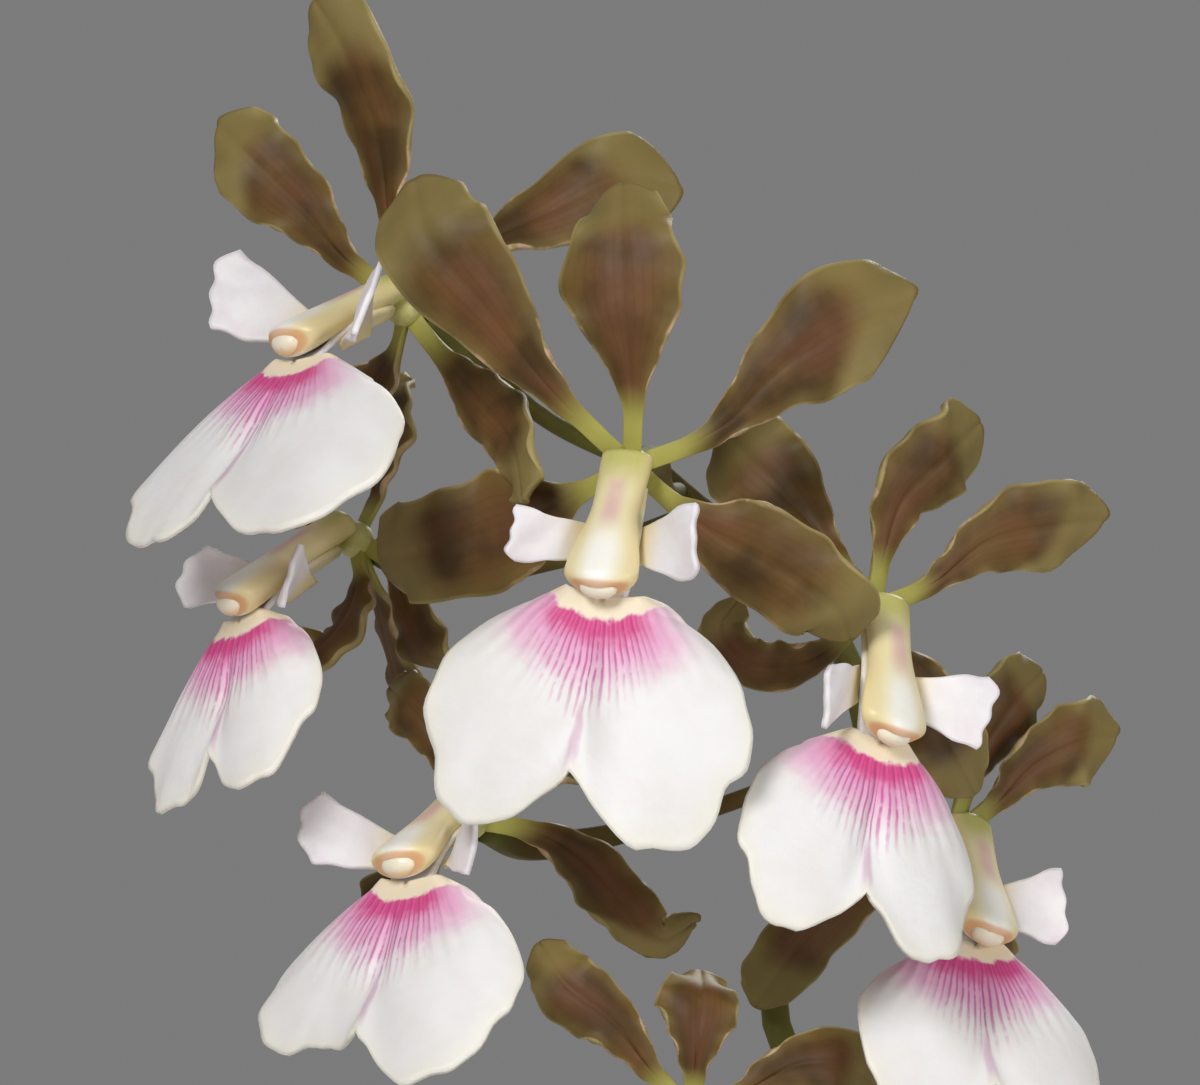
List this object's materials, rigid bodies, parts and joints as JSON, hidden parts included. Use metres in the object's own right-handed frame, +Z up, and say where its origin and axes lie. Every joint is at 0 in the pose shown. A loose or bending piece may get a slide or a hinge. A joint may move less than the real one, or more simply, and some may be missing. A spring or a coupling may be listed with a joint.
{
  "type": "potted flowering orchid plant",
  "caption": "Potted orchid with upright swollen stems, strap leaves and one tall stalk of brown flowers with broad white and magenta lips.",
  "frame": {"origin": "middle of the pot's flat underside", "axes": "+Z up along the plant, -Y the side the flowers face, +X their right as the viewer sees them"},
  "size_m": [0.2177, 0.1791, 0.494],
  "materials": {
    "terracotta": "unglazed fired clay, matt",
    "bark": "rough chipped bark, matt",
    "roots": "spongy pale root skin, matt",
    "stalk": "smooth living stem, satin",
    "bulb": "smooth swollen stem, satin",
    "leaf": "leathery leaf, satin",
    "tepal": "fleshy brown petal with olive-yellow edges, satin",
    "lip": "soft white petal with magenta veins, satin",
    "column": "waxy cream, satin"
  },
  "bodies": {
    "root": {"pot": "terracotta", "bark_mix": "bark", "rhizome_and_roots": "roots", "flower_stalk": "stalk", "pseudobulb_1": "bulb", "pseudobulb_2": "bulb", "pseudobulb_3": "bulb", "pseudobulb_4": "bulb", "leaf_1": "leaf", "leaf_2": "leaf", "leaf_3": "leaf", "leaf_4": "leaf", "leaf_5": "leaf", "leaf_6": "leaf", "leaf_7": "leaf", "bloom_A_tepals": "tepal", "bloom_A_lip": "lip", "bloom_A_column": "column", "bloom_B_tepals": "tepal", "bloom_B_lip": "lip", "bloom_B_column": "column", "bloom_C_tepals": "tepal", "bloom_C_lip": "lip", "bloom_C_column": "column", "bloom_D_tepals": "tepal", "bloom_D_lip": "lip", "bloom_D_column": "column", "bloom_E_tepals": "tepal", "bloom_E_lip": "lip", "bloom_E_column": "column", "bloom_F_tepals": "tepal", "bloom_F_lip": "lip", "bloom_F_column": "column", "bloom_G_tepals": "tepal", "bloom_G_lip": "lip", "bloom_G_column": "column"}
  },
  "joints": []
}
